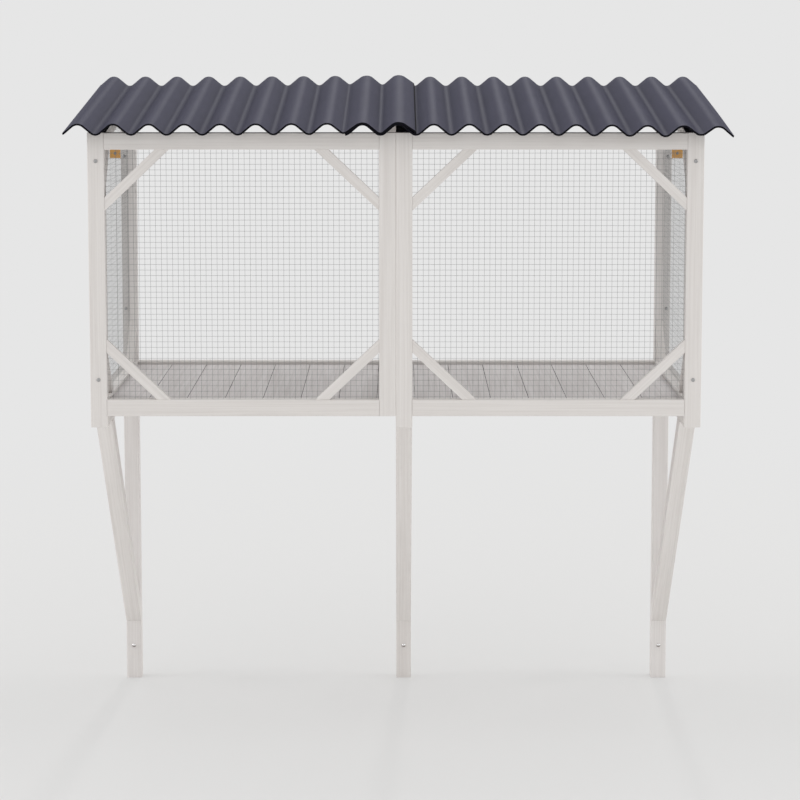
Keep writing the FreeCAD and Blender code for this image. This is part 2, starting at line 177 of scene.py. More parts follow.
class CatioColours(bpy.types.PropertyGroup):
    """Colours of the finishes, in linear values"""

    wash: colour("White wash", "Wash on the planed timber", (0.71, 0.682, 0.660))
    grain: colour("Grain", "Timber that shows through the wash in the grain", (0.575, 0.54, 0.515))
    end_grain: colour("End grain", "Sawn ends of the timber", (0.50, 0.465, 0.435))
    # Painted shade: this share darkens the floor boards' copy of the wash to stand in for the shade under the
    # roof.
    floor_painted_shade: tint("Floor tint", "Share of the wash's tone left on the shade-painted floor", (0.855, 0.843, 0.864))
    # Painted light: this share makes the outer legs' copy of the wash paler, standing in for brighter light on
    # them.
    outer_leg_painted_light: tint("Leg tint", "Share by which the outer legs' timber is paler", (1.03, 1.035, 1.045))
    # Painted shade in the gaps between the floor boards, drawn on the boards' sides and rounded edges.
    painted_gap_shade: colour("Joint", "Dark joints between the floor boards", (0.08, 0.075, 0.07))
    zinc: colour("Zinc", "Galvanised wire", (0.28, 0.28, 0.278))
    slate: colour("Slate", "Upper side of the roof sheets", (0.0405, 0.040, 0.0675))
    # Black of the cut edges and underside, which the sheets have, and painted shade on the steep lip at the lap,
    # which draws the seam's dark line.
    sheet_edge_and_seam_shade: colour("Sheet edge", "Cut edges and underside of the roof sheets", (0.004, 0.004, 0.005))
    brass: colour("Brass", "Plated wall brackets", (0.76, 0.36, 0.03))
    steel: colour("Steel", "Heads of the post bolts", (0.48, 0.48, 0.48))
    screw_steel: colour("Screw steel", "Heads of the bracket screws", (0.24, 0.24, 0.24))
    chrome: colour("Chrome", "Upper side of the domed wall bolts", (0.95, 0.95, 0.95))
    # Painted shade and painted reflection of the ground on the lower side of the wall bolts.
    chrome_painted_shade: colour("Chrome shade", "Lower side of the domed wall bolts", (0.35, 0.32, 0.30))
    studio: colour("Studio", "Pale grey of the floor and the backdrop", (0.791, 0.791, 0.791))


# ---------------------------------------------------------------- material helpers


def add(tree, kind, inputs=None, **settings):
    """Adds a node; an input given as a socket is linked, and any other value is set."""
    node = tree.nodes.new(kind)
    for name, value in settings.items():
        setattr(node, name, value)
    for name, value in (inputs or {}).items():
        if isinstance(value, bpy.types.NodeSocket):
            tree.links.new(value, node.inputs[name])
        else:
            node.inputs[name].default_value = value
    return node


def maths(tree, operation, first, second=0.0, clamp=False):
    """Result of a Math node on two values or sockets."""
    return add(tree, "ShaderNodeMath", {0: first, 1: second}, operation=operation, use_clamp=clamp).outputs[0]


def vectors(tree, operation, first, second):
    """Result of a Vector Math node."""
    node = add(tree, "ShaderNodeVectorMath", {0: first, 1: second}, operation=operation)
    return node.outputs["Value" if operation == "DOT_PRODUCT" else "Vector"]


def tone(value):
    """A linear colour with its alpha."""
    return (*value, 1.0)


def mixed(tree, factor, first, second, blend="MIX"):
    """Mix of two colours or colour sockets."""
    node = add(tree, "ShaderNodeMix", {0: factor}, data_type="RGBA", blend_type=blend)
    for index, value in ((6, first), (7, second)):
        if isinstance(value, bpy.types.NodeSocket):
            tree.links.new(value, node.inputs[index])
        else:
            node.inputs[index].default_value = tone(value)
    return node.outputs[2]


def ranged(tree, value, low, high, to_low=0.0, to_high=1.0):
    """Value carried from one range to another, smoothly and clamped."""
    return add(
        tree,
        "ShaderNodeMapRange",
        {"Value": value, "From Min": low, "From Max": high, "To Min": to_low, "To Max": to_high},
        interpolation_type="SMOOTHSTEP",
    ).outputs["Result"]


def facing(tree, direction):
    """How far the surface looks in a direction, from -1 to 1."""
    normal = add(tree, "ShaderNodeNewGeometry").outputs["Normal"]
    return vectors(tree, "DOT_PRODUCT", normal, tuple(direction))


def scaled(shade, share):
    """A colour made darker or paler by a share."""
    return [min(1.0, value * share) for value in shade]


def camera_rays(tree):
    """1 for what the camera sees, straight, mirrored or through glass, and 0 for light that bounces about."""
    rays = add(tree, "ShaderNodeLightPath").outputs
    seen = maths(tree, "MAXIMUM", rays["Is Camera Ray"], rays["Is Glossy Ray"])
    return maths(tree, "MAXIMUM", seen, rays["Is Transmission Ray"])


def noise(tree, place, scale, detail=2.0, roughness=0.5, distortion=0.0):
    """Noise value at a place."""
    inputs = {"Vector": place, "Scale": scale, "Detail": detail, "Roughness": roughness, "Distortion": distortion}
    return add(tree, "ShaderNodeTexNoise", inputs).outputs[0]


def drawn_out(tree, place, along, share):
    """Place squeezed along an axis, which draws noise out into streaks."""
    return vectors(tree, "MULTIPLY", place, tuple(1.0 - (1.0 - share) * part for part in along))


def bumped(tree, height, distance, strength=1.0):
    """Normal from a height."""
    return add(
        tree, "ShaderNodeBump", {"Height": height, "Distance": distance, "Strength": strength}
    ).outputs["Normal"]


def surface(name):
    """A new material with its tree, its shader and its Object coordinates."""
    material = bpy.data.materials.new(name)
    material.use_nodes = True
    tree = material.node_tree
    shader = tree.nodes["Principled BSDF"]
    place = add(tree, "ShaderNodeTexCoord").outputs["Object"]
    return material, tree, shader, place


def give(pieces, material):
    """One material in the only slot of each piece."""
    for piece in pieces:
        piece.data.materials.clear()
        piece.data.materials.append(material)


# ---------------------------------------------------------------- finishes


def timber_finish(name, along, colours, shares=None, boards=None):
    """White-washed softwood with its grain along a direction.

    The shares make it darker, as painted shade, or paler, as painted light, and boards, as first edge and width,
    gives each floor board its own tone and near-black sides, painted shade in the gaps.
    """
    material, tree, shader, place = surface(name)
    turn = along.rotation_difference(UP).to_euler()
    turned = add(tree, "ShaderNodeMapping", {"Vector": place, "Rotation": turn}).outputs["Vector"]
    board = None
    if boards:
        x = add(tree, "ShaderNodeSeparateXYZ", {0: place}).outputs["X"]
        number = maths(tree, "FLOOR", maths(tree, "DIVIDE", maths(tree, "SUBTRACT", x, boards[0]), boards[1]))
        board = add(tree, "ShaderNodeTexWhiteNoise", {"W": number}, noise_dimensions="1D")
        turned = vectors(tree, "ADD", turned, board.outputs["Color"])
    streaks = noise(tree, drawn_out(tree, turned, UP, 0.012), 230.0, 3.0, 0.6, 0.25)
    bands = noise(tree, drawn_out(tree, turned, UP, 0.05), 34.0, 2.0, 0.5, 0.6)
    pores = noise(tree, drawn_out(tree, turned, UP, 0.03), 900.0, 2.0, 0.7)
    thin = ranged(tree, streaks, 0.32, 0.72, 0.0, 0.42)  # where the wash is thin, the grain shows
    thin = maths(tree, "ADD", thin, ranged(tree, bands, 0.3, 0.7, 0.0, 0.18))
    thin = maths(tree, "ADD", thin, ranged(tree, pores, 0.58, 0.75, 0.0, 0.30), clamp=True)
    shade = mixed(tree, thin, colours.wash, colours.grain)
    if board:
        lift = ranged(tree, board.outputs["Value"], 0.0, 1.0, 0.965, 1.015)
        lifts = add(tree, "ShaderNodeCombineXYZ", {0: lift, 1: lift, 2: lift}).outputs[0]
        shade = vectors(tree, "MULTIPLY", shade, lifts)
        # Painted shade: faces that look across, the board sides and their rounded edges, are drawn near-black so
        # that the gaps read as shaded.
        painted_gap_shade = maths(tree, "ABSOLUTE", facing(tree, ACROSS))
        shade = mixed(tree, ranged(tree, painted_gap_shade, 0.25, 0.6), shade, colours.painted_gap_shade)
    end = maths(tree, "ABSOLUTE", facing(tree, along))
    shade = mixed(tree, ranged(tree, end, 0.86, 0.97), shade, colours.end_grain)
    # The shares paint shade or light: a darker copy of the wash on the floor boards, a paler one on the outer
    # legs.
    if shares:
        shade = vectors(tree, "MULTIPLY", shade, tuple(shares))
    tree.links.new(shade, shader.inputs["Base Color"])
    tree.links.new(ranged(tree, streaks, 0.3, 0.7, 0.62, 0.8), shader.inputs["Roughness"])
    height = maths(tree, "ADD", maths(tree, "MULTIPLY", streaks, 0.6), maths(tree, "MULTIPLY", pores, 0.4))
    tree.links.new(bumped(tree, height, 0.0004, 0.5), shader.inputs["Normal"])
    shader.inputs["Specular IOR Level"].default_value = 0.25
    return material


def zinc_finish(colours):
    """Galvanised wire, dull with a fine spangle."""
    material, tree, shader, place = surface("zinc_wire")
    spangle = noise(tree, place, 700.0, 2.0)
    level = ranged(tree, spangle, 0.35, 0.65)
    shade = mixed(tree, level, scaled(colours.zinc, 0.85), scaled(colours.zinc, 1.15))
    tree.links.new(shade, shader.inputs["Base Color"])
    tree.links.new(ranged(tree, spangle, 0.3, 0.7, 0.42, 0.62), shader.inputs["Roughness"])
    shader.inputs["Metallic"].default_value = 0.55
    return material


def slate_finish(colours):
    """Satin roof sheet: slate upper side with faint rain streaks, black cut edges and underside, and painted shade
    on the steep lip at the lap, which draws the seam's dark line.
    """
    material, tree, shader, place = surface("slate_sheet")
    speckle = noise(tree, place, 950.0, 3.0, 0.6)
    streaks = noise(tree, drawn_out(tree, place, DEEP, 0.06), 90.0, 3.0, 0.55)
    cloud = noise(tree, place, 7.0, 3.0, 0.6)
    level = maths(tree, "ADD", ranged(tree, streaks, 0.3, 0.7, 0.0, 0.5), ranged(tree, cloud, 0.3, 0.7, 0.0, 0.5))
    shade = mixed(tree, level, scaled(colours.slate, 0.92), scaled(colours.slate, 1.08))
    # Faces tilted far from up are black: the cut edges and underside in their own black, and the steep lap lip as
    # painted shade along the seam.
    shade = mixed(tree, ranged(tree, facing(tree, UP), 0.60, 0.70), colours.sheet_edge_and_seam_shade, shade)
    tree.links.new(shade, shader.inputs["Base Color"])
    tree.links.new(ranged(tree, speckle, 0.3, 0.7, 0.62, 0.72), shader.inputs["Roughness"])
    tree.links.new(bumped(tree, speckle, 0.0002, 0.35), shader.inputs["Normal"])
    shader.inputs["Specular IOR Level"].default_value = 0.095
    shader.inputs["Specular Tint"].default_value = (0.72, 0.72, 1.0, 1.0)
    return material


def metal_finish(name, shade, rough, brushed):
    """Metal with small changes of tone and fine brushing, drawn out where a share of brushed is small."""
    material, tree, shader, place = surface(name)
    lines = noise(tree, vectors(tree, "MULTIPLY", place, brushed), 1600.0, 3.0, 0.6)
    patches = noise(tree, place, 260.0, 2.0)
    level = maths(tree, "ADD", maths(tree, "MULTIPLY", lines, 0.5), maths(tree, "MULTIPLY", patches, 0.5))
    shade = mixed(tree, ranged(tree, level, 0.35, 0.65), scaled(shade, 0.88), scaled(shade, 1.1))
    tree.links.new(shade, shader.inputs["Base Color"])
    tree.links.new(ranged(tree, level, 0.35, 0.65, rough * 0.85, rough * 1.15), shader.inputs["Roughness"])
    tree.links.new(bumped(tree, lines, 0.00005, 0.3), shader.inputs["Normal"])
    shader.inputs["Metallic"].default_value = 1.0
    return material


def chrome_finish(colours):
    """Polished domes: bright where they face up and darkened where they face the ground, painted shade and painted
    reflection of the ground.
    """
    material, tree, shader, place = surface("chrome_bolt")
    haze = noise(tree, place, 420.0, 2.0)
    # Painted shade: the colour darkens as the dome turns down towards the ground.
    shade = mixed(tree, ranged(tree, facing(tree, UP), -0.35, 0.2), colours.chrome_painted_shade, colours.chrome)
    tree.links.new(shade, shader.inputs["Base Color"])
    tree.links.new(ranged(tree, haze, 0.3, 0.7, 0.14, 0.24), shader.inputs["Roughness"])
    shader.inputs["Metallic"].default_value = 1.0
    return material


# ---------------------------------------------------------------- modelling helpers


def clear_selection():
    """Object mode with nothing selected."""
    if bpy.context.object and bpy.context.object.mode != "OBJECT":
        bpy.ops.object.mode_set(mode="OBJECT")
    bpy.ops.object.select_all(action="DESELECT")


def settle(piece, name, replaced=()):
    """Applies a finished piece's place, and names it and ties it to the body."""
    clear_selection()
    piece.select_set(True)
    bpy.context.view_layer.objects.active = piece
    bpy.ops.object.transform_apply(location=True, rotation=True, scale=True)
    piece.name = name
    piece.data.name = name
    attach(piece, BODY)
    if replaced:
        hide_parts(*replaced)
    return piece


def joined(pieces):
    """Several pieces made one."""
    clear_selection()
    for piece in pieces:
        piece.select_set(True)
    bpy.context.view_layer.objects.active = pieces[0]
    bpy.ops.object.join()
    return bpy.context.object


def ramp(value, start, end):
    """Rise from 0 at the start to 1 at the end, and level beyond both."""
    return min(max((value - start) / (end - start), 0.0), 1.0)


def smoothed(degrees):
    """Smooth shading of the active piece, with edges above an angle left sharp."""
    bpy.ops.object.shade_smooth_by_angle(angle=math.radians(degrees))


def facing_faces(piece, direction):
    """Selects, in object mode, only the faces that look in a direction."""
    mesh = piece.data
    for part in (mesh.vertices, mesh.edges, mesh.polygons):
        part.foreach_set("select", [False] * len(part))
    for face in mesh.polygons:
        face.select = face.normal.dot(direction) > 0.9


def in_row(piece, step, copies):
    """Modifier that repeats a piece at an even step."""
    row = piece.modifiers.new("row", "ARRAY")
    row.use_relative_offset = False
    row.use_constant_offset = True
    row.constant_offset_displace = step
    row.count = copies
    return row


def row_of_wires(start, run, radius, step, wires):
    """Wires drawn by extruding a small disc along their run and repeated at an even step."""
    clear_selection()
    turn = UP.rotation_difference(run).to_euler()
    bpy.ops.mesh.primitive_circle_add(
        vertices=WIRE_SIDES, radius=radius, fill_type="NGON", location=start, rotation=turn
    )
    wire = bpy.context.object
    bpy.ops.object.transform_apply(location=True, rotation=True, scale=True)
    bpy.ops.object.mode_set(mode="EDIT")
    bpy.ops.mesh.select_all(action="SELECT")
    bpy.ops.mesh.extrude_region_move(TRANSFORM_OT_translate={"value": run})
    bpy.ops.mesh.select_all(action="SELECT")
    bpy.ops.mesh.normals_make_consistent(inside=False)
    bpy.ops.object.mode_set(mode="OBJECT")
    in_row(wire, step, wires)
    bpy.ops.object.modifier_apply(modifier="row")
    return wire


def dome_head(place, outward, diameter, height, rim, socket):
    """Round fastener head: a rim, a dome raised ring by ring and, where it has one, a socket in its top."""
    clear_selection()
    turn = UP.rotation_difference(outward).to_euler()
    radius = diameter / 2
    bpy.ops.mesh.primitive_cylinder_add(
        vertices=HEAD_SIDES, radius=radius, depth=rim, location=(0.0, 0.0, rim / 2), end_fill_type="NGON"
    )
    head = bpy.context.object
    bpy.ops.object.transform_apply(location=True)
    facing_faces(head, UP)
    bpy.ops.object.mode_set(mode="EDIT")
    bpy.ops.mesh.select_mode(type="FACE")
    was_wide, was_high = 1.0, 0.0
    for ring in range(1, DOME_RINGS + 1):
        sweep = DOME_SWEEP * ring / DOME_RINGS
        wide, high = math.cos(sweep), math.sin(sweep)
        rise = (high - was_high) * (height - rim)
        bpy.ops.mesh.extrude_region_move(TRANSFORM_OT_translate={"value": (0.0, 0.0, rise)})
        bpy.ops.transform.resize(value=(wide / was_wide, wide / was_wide, 1.0), center_override=(0.0, 0.0, rim))
        was_wide, was_high = wide, high
    if socket:
        bpy.ops.mesh.inset(thickness=radius * SOCKET_LIP)
        bpy.ops.mesh.extrude_region_move(TRANSFORM_OT_translate={"value": (0.0, 0.0, -socket)})
        bpy.ops.mesh.inset(thickness=radius * SOCKET_FLOOR)
    bpy.ops.mesh.select_all(action="SELECT")
    bpy.ops.mesh.normals_make_consistent(inside=False)
    bpy.ops.object.mode_set(mode="OBJECT")
    smoothed(32.0)
    head.rotation_euler = turn
    head.location = place
    bpy.ops.object.transform_apply(location=True, rotation=True, scale=True)
    return head


def shank(head, place, outward, radius, depth):
    """Adds the plain shank behind a head."""
    clear_selection()
    middle = Vector(place) - outward * (depth / 2)
    bpy.ops.mesh.primitive_cylinder_add(
        vertices=SHANK_SIDES,
        radius=radius,
        depth=depth,
        location=middle,
        rotation=UP.rotation_difference(outward).to_euler(),
    )
    body = bpy.context.object
    bpy.ops.object.transform_apply(location=True, rotation=True, scale=True)
    facing_faces(body, -outward)
    bpy.ops.object.mode_set(mode="EDIT")
    bpy.ops.mesh.select_mode(type="FACE")
    bpy.ops.mesh.inset(thickness=radius * SHANK_END)
    bpy.ops.object.mode_set(mode="OBJECT")
    smoothed(32.0)
    return joined([head, body])


def soften(nodes, edge):
    """Rounds the sawn edges of CAD nodes with live modifiers."""
    for name in nodes:
        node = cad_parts[name]
        weld = node.modifiers.new("merge", "WELD")
        weld.merge_threshold = SAME
        bevel = node.modifiers.new("edges", "BEVEL")
        bevel.width = edge
        bevel.segments = 2
        bevel.limit_method = "ANGLE"
        bevel.angle_limit = math.radians(30.0)


def named(*starts):
    """CAD nodes whose names start with one of the given words."""
    found = [name for name in sorted(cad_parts) if name.startswith(starts)]
    if not found:
        raise RuntimeError(f"the frame has no node starting with {starts}")
    return found


def objects(names):
    """Objects of CAD nodes."""
    return [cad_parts[name] for name in names]


def frame_rise():
    """Rise of the rafters from the front rail to the rear rail."""
    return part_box("rear_top_rail")[1].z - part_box("top_rail_left")[1].z


# ---------------------------------------------------------------- operators


class CATIO_OT_timber(bpy.types.Operator):
    """Gives posts, legs, rails, struts and braces their white-washed timber, with the grain along each piece"""

    bl_idname = "catio.timber"
    bl_label = "Frame timber"

    def execute(self, context):
        colours = context.scene.catio_colours
        give(
            objects(named("front_post", "front_stile", "rear_stile", "leg_centre")),
            timber_finish("timber_upright", UP, colours),
        )
        # The outer legs take a paler copy of the wash as painted light.
        give(objects(named("leg_left", "leg_right")), timber_finish("timber_leg", UP, colours, colours.outer_leg_painted_light))
        give(
            objects(named("top_rail", "bottom_rail", "rear_base", "rear_top", "floor_ledger", "floor_joist")),
            timber_finish("timber_across", ACROSS, colours),
        )
        give(objects(named("side_rail", "bearer")), timber_finish("timber_deep", DEEP, colours))
        low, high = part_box("rafter_left")
        slope = Vector((0.0, high.y - low.y, frame_rise()))
        give(objects(named("rafter")), timber_finish("timber_rafter", slope.normalized(), colours))
        low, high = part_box("strut_left")
        lean = Vector((0.0, low.y - high.y, high.z - low.z))
        give(objects(named("strut")), timber_finish("timber_strut", lean.normalized(), colours))
        for name in named("front_brace", "side_brace"):
            low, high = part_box(name)
            run = high - low
            if name.startswith("front"):
                run.y = 0.0
                in_first_corner = ("outer" in name) != ("right" in name)
            else:
                run.x = 0.0
                in_first_corner = name.endswith("front")
            if in_first_corner != ("top" in name):
                run.z = -run.z
            give(objects([name]), timber_finish("timber_" + name, run.normalized(), colours))
        soften(named("front_brace", "side_brace", "strut", "rafter"), context.scene.catio_sizes.edge)
        return {"FINISHED"}


class CATIO_OT_floor(bpy.types.Operator):
    """Gives each floor board its own tone and grain"""

    bl_idname = "catio.floor"
    bl_label = "Floor boards"

    def execute(self, context):
        sizes = context.scene.catio_sizes
        colours = context.scene.catio_colours
        low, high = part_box("floor_boards")
        play = 0.0005  # half a joint, so that each board's edges are inside its own stripe
        width = (high.x - low.x + 2 * play) / sizes.boards
        # The floor boards take a darker copy of the wash as painted shade under the roof.
        finish = timber_finish("timber_floor", DEEP, colours, colours.floor_painted_shade, (low.x - play, width))
        give(objects(["floor_boards"]), finish)
        soften(["floor_boards"], sizes.board_edge)
        return {"FINISHED"}


class CATIO_OT_mesh(bpy.types.Operator):
    """Draws the welded wire of the front and side panels"""

    bl_idname = "catio.mesh"
    bl_label = "Wire mesh"

    def execute(self, context):
        sizes = context.scene.catio_sizes
        finish = zinc_finish(context.scene.catio_colours)
        for node in named("front_mesh", "side_mesh"):
            front = node.startswith("front")
            low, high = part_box(node)
            middle = (low + high) / 2
            along, through = (ACROSS, DEEP) if front else (DEEP, ACROSS)
            outward = -through if front or "left" in node else through
            radius = (sizes.front_wire if front else sizes.side_wire) / 2
            layer = outward * radius * 0.85  # crossing wires are welded a little into each other
            width = (high - low).dot(along)
            height = high.z - low.z
            corner = along * low.dot(along) + through * middle.dot(through) + UP * low.z
            uprights = row_of_wires(
                corner + along * sizes.wire_side_inset - layer,
                UP * height,
                radius,
                along * sizes.wire_pitch,
                1 + int((width - sizes.wire_side_inset) / sizes.wire_pitch),
            )
            levels = row_of_wires(
                corner + UP * sizes.wire_base_inset + layer,
                along * width,
                radius,
                UP * sizes.wire_pitch,
                1 + int((height - sizes.wire_base_inset) / sizes.wire_pitch),
            )
            panel = joined([uprights, levels])
            if not front:
                self.trim(panel, node)
            smoothed(50.0)
            settle(panel, node.replace("mesh", "wire"), [node])
            give([panel], finish)
        return {"FINISHED"}

    def trim(self, panel, node):
        """Cuts a side panel along the slope of its rafter's underside."""
        low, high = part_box(node)
        at_front = [v.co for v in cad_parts[node].data.vertices if v.co.y < low.y + 0.1 * MILLIMETRE]
        front_top = max(point.z for point in at_front)
        slope = Vector((0.0, high.y - low.y, high.z - front_top))
        bpy.ops.object.mode_set(mode="EDIT")
        bpy.ops.mesh.select_all(action="SELECT")
        bpy.ops.mesh.bisect(
            plane_co=(low.x, low.y, front_top),
            plane_no=(0.0, -slope.z, slope.y),
            use_fill=False,
            clear_outer=True,
        )
        bpy.ops.mesh.select_all(action="SELECT")
        bpy.ops.mesh.fill_holes(sides=12)
        bpy.ops.object.mode_set(mode="OBJECT")


class CATIO_OT_roof(bpy.types.Operator):
    """Models the corrugated sheets: one wave is spun and repeated, then cut, bent, thickened and pitched"""

    bl_idname = "catio.roof"
    bl_label = "Roof sheets"

    LAP_CURVE = 2.3  # power by which the left sheet bends up towards its lap
    BULGE_IN = (0.55, 0.87)  # where the lap's outer flanks stand out, in waves from the lapped crest
    BULGE_OUT = (1.15, 0.94)
    SAG_ACROSS = 1.7  # powers by which the corner sags to the right and to the front
    SAG_FORWARD = 3
    SAG_ROWS = 9  # rows of the lattice that lets the corner sag

    def execute(self, context):
        sizes = context.scene.catio_sizes
        finish = slate_finish(context.scene.catio_colours)
        half = sizes.sheet_pitch / 2
        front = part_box("top_rail_left")
        slope = math.atan2(frame_rise(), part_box("rear_top_rail")[0].y - front[0].y)
        run = (sizes.sheet_overhang - front[0].y - sizes.wall_clearance) / math.cos(slope)
        lean = sizes.sheet_thick * 0.2  # what an outer edge gains when the sheet is thickened
        for side in ("left", "right"):
            node = f"roof_sheet_{side}"
            low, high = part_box(node)
            first = round((low.x - sizes.crest_shift) / sizes.sheet_pitch + 0.5)
            last = round((high.x - sizes.crest_shift) / sizes.sheet_pitch - 0.5)
            waves = last - first + 2
            start = sizes.crest_shift + first * sizes.sheet_pitch - half
            sheet = self.wave(sizes, run)
            self.repeat(sheet, sizes, start + half, waves)
            self.cut(sheet, ACROSS * (low.x + lean), -ACROSS, True)
            if side == "left":
                self.lap(sheet, sizes, start + sizes.sheet_pitch * (waves - 1), high.x)
            else:
                self.cut(sheet, ACROSS * (high.x - lean), ACROSS, True)
            for row in range(1, sizes.sheet_rows):
                self.cut(sheet, DEEP * (run * row / sizes.sheet_rows), DEEP, False)
            self.thicken(sheet, sizes.sheet_thick)
            if side == "right":
                self.sag(sheet, sizes, start, 2 * waves + 1)
            lift = sizes.sheet_wave / 2 + sizes.sheet_thick / 2
            sheet.data.transform(Matrix.Translation((0.0, -sizes.sheet_overhang / math.cos(slope), lift)))
            sheet.rotation_euler = (slope, 0.0, 0.0)
            sheet.location = (0.0, front[0].y, front[1].z - sizes.sheet_press)
            settle(sheet, f"roof_wave_{side}", [node])
            give([sheet], finish)
        return {"FINISHED"}

    def radii(self, sizes):
        """Radii of crest and valley on the middle of the sheet."""
        flank = sizes.sheet_flank
        both = (math.tan(flank) * sizes.sheet_pitch / 2 - sizes.sheet_wave) / (1 / math.cos(flank) - 1)
        return both * sizes.crest_share, both * (1 - sizes.crest_share)

    def lap(self, sheet, sizes, valley_x, lap_end):
        """Swells the sheet towards its lap, so that its waves sit over those below, and ends it with a lip."""
        self.cut(sheet, ACROSS * (valley_x - self.radii(sizes)[1] * math.sin(sizes.sheet_flank)), ACROSS, True)
        rise = sheet.vertex_groups.new(name="rise")
        most = sizes.lap_lift + sizes.lap_spread
        for vertex in sheet.data.vertices:
            share = (vertex.co.x + sizes.lap_start) / (lap_end + sizes.lap_start)
            waves = abs(vertex.co.x - valley_x + sizes.sheet_pitch) / sizes.sheet_pitch
            bulge = ramp(waves, *self.BULGE_IN) * ramp(waves, *self.BULGE_OUT)
            height = sizes.lap_lift * max(share, 0.0) ** self.LAP_CURVE + sizes.lap_spread * bulge
            rise.add([vertex.index], height / most, "REPLACE")
        swell = sheet.modifiers.new("swell", "DISPLACE")
        swell.strength = most
        swell.mid_level = 0.0
        swell.vertex_group = rise.name
        bpy.ops.object.modifier_apply(modifier=swell.name)
        sheet.vertex_groups.clear()
        self.end_edge(sheet, max)
        # The lip slants so steeply that the slate finish draws it black, painted shade along the seam.
        for run, slant in ((sizes.lap_flank, sizes.sheet_flank), (sizes.lap_lip, sizes.lip_slant)):
            down = (run, 0.0, -run * math.tan(slant))
            bpy.ops.mesh.extrude_region_move(TRANSFORM_OT_translate={"value": down})
        bpy.ops.object.mode_set(mode="OBJECT")

    def wave(self, sizes, run):
        """One wave from valley to valley about the crest at X = 0: a flank, with arcs spun at its edges."""
        flank = sizes.sheet_flank
        crest, valley = self.radii(sizes)
        foot = Vector((-sizes.sheet_pitch / 2 + valley * math.sin(flank), 0.0))
        foot.y = -sizes.sheet_wave / 2 + valley * (1 - math.cos(flank))
        top = Vector((-crest * math.sin(flank), sizes.sheet_wave / 2 - crest * (1 - math.cos(flank))))
        clear_selection()
        bpy.ops.mesh.primitive_plane_add(size=1.0, location=(0.5, 0.5, 0.0))
        sheet = bpy.context.object
        bpy.ops.object.transform_apply(location=True)
        sheet.scale = ((top - foot).length, run, 1.0)
        sheet.rotation_euler = (0.0, -flank, 0.0)
        sheet.location = (foot.x, 0.0, foot.y)
        bpy.ops.object.transform_apply(location=True, rotation=True, scale=True)
        faces = sizes.arc_faces
        self.end_edge(sheet, max)
        crest_centre = (0.0, 0.0, sizes.sheet_wave / 2 - crest)
        bpy.ops.mesh.spin(steps=faces, angle=2 * flank, center=crest_centre, axis=-DEEP)
        across = (top.x - foot.x, 0.0, foot.y - top.y)
        bpy.ops.mesh.extrude_region_move(TRANSFORM_OT_translate={"value": across})
        right = (sizes.sheet_pitch / 2, 0.0, valley - sizes.sheet_wave / 2)
        bpy.ops.mesh.spin(steps=faces // 2, angle=flank, center=right, axis=DEEP)
        self.end_edge(sheet, min)
        left = (-right[0], 0.0, right[2])
        bpy.ops.mesh.spin(steps=faces // 2, angle=flank, center=left, axis=-DEEP)
        bpy.ops.mesh.select_all(action="SELECT")
        bpy.ops.mesh.remove_doubles(threshold=SEAM)
        bpy.ops.mesh.normals_make_consistent(inside=False)
        bpy.ops.object.mode_set(mode="OBJECT")
        return sheet

    def end_edge(self, sheet, side):
        """Edit mode with only the sheet's leftmost or rightmost edge selected."""
        bpy.ops.object.mode_set(mode="EDIT")
        bpy.ops.mesh.select_mode(type="VERT")
        bpy.ops.mesh.select_all(action="DESELECT")
        bpy.ops.object.mode_set(mode="OBJECT")
        end = side(v.co.x for v in sheet.data.vertices)
        for vertex in sheet.data.vertices:
            vertex.select = abs(vertex.co.x - end) < SAME
        bpy.ops.object.mode_set(mode="EDIT")
        bpy.ops.mesh.select_mode(type="EDGE")

    def repeat(self, sheet, sizes, first_crest, waves):
        """Waves side by side from the first crest on, merged into one sheet that faces up."""
        row = in_row(sheet, ACROSS * sizes.sheet_pitch, waves)
        row.use_merge_vertices = True
        row.merge_threshold = SEAM
        bpy.ops.object.modifier_apply(modifier=row.name)
        sheet.location.x = first_crest
        bpy.ops.object.transform_apply(location=True)
        upward = sum(face.normal.z for face in sheet.data.polygons)
        bpy.ops.object.mode_set(mode="EDIT")
        bpy.ops.mesh.select_all(action="SELECT")
        if upward < 0.0:
            bpy.ops.mesh.flip_normals()
        bpy.ops.object.mode_set(mode="OBJECT")

    def cut(self, sheet, place, direction, clear):
        """Cuts the sheet across and, where asked, clears what lies beyond the cut."""
        bpy.ops.object.mode_set(mode="EDIT")
        bpy.ops.mesh.select_all(action="SELECT")
        bpy.ops.mesh.bisect(plane_co=place, plane_no=direction, clear_outer=clear)
        bpy.ops.object.mode_set(mode="OBJECT")

    def thicken(self, sheet, thickness):
        """Gives the sheet its thickness, half to each side."""
        wall = sheet.modifiers.new("wall", "SOLIDIFY")
        wall.thickness = thickness
        wall.offset = 0.0
        wall.use_even_offset = True
        bpy.ops.object.modifier_apply(modifier=wall.name)
        smoothed(35.0)

